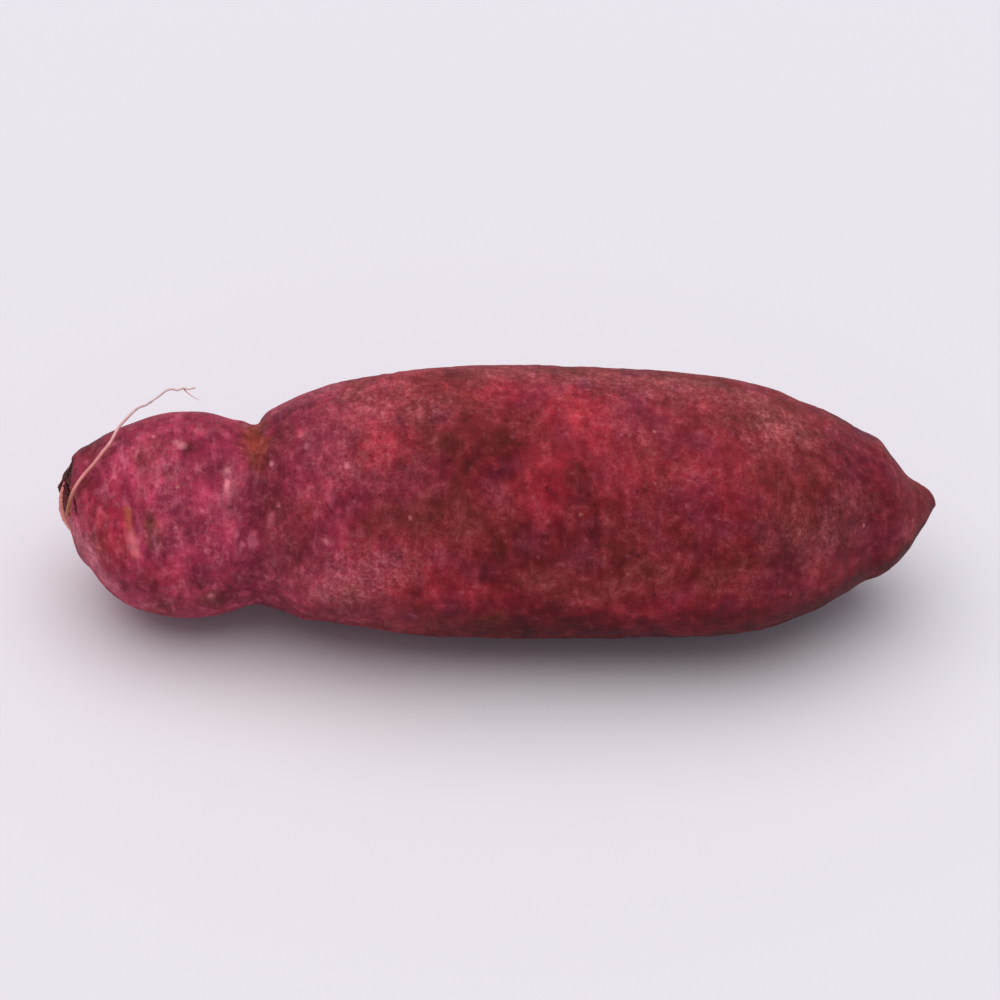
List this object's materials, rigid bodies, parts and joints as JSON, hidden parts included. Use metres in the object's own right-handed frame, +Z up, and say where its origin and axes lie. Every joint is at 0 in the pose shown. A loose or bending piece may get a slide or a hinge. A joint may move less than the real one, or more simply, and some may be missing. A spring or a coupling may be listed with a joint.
{
  "type": "sweet potato",
  "caption": "Whole raw purple-skinned sweet potato lying on its side, with a rounded stem-end bulb, a neck, a pointed tail and a thin dry rootlet.",
  "frame": {"origin": "middle of the outer box in X and Y, on the plane of the flat spot that the root rests on", "axes": "+X along the root from the stem-end bulb to the pointed tail, +Z up from the flat spot, and -Y towards the side that the picture shows"},
  "size_m": [0.1132, 0.0364, 0.0346],
  "materials": {
    "skin": "matte",
    "dry_root": "matte"
  },
  "bodies": {
    "root": {"tuber": "skin", "rootlet": "dry_root"}
  },
  "joints": []
}
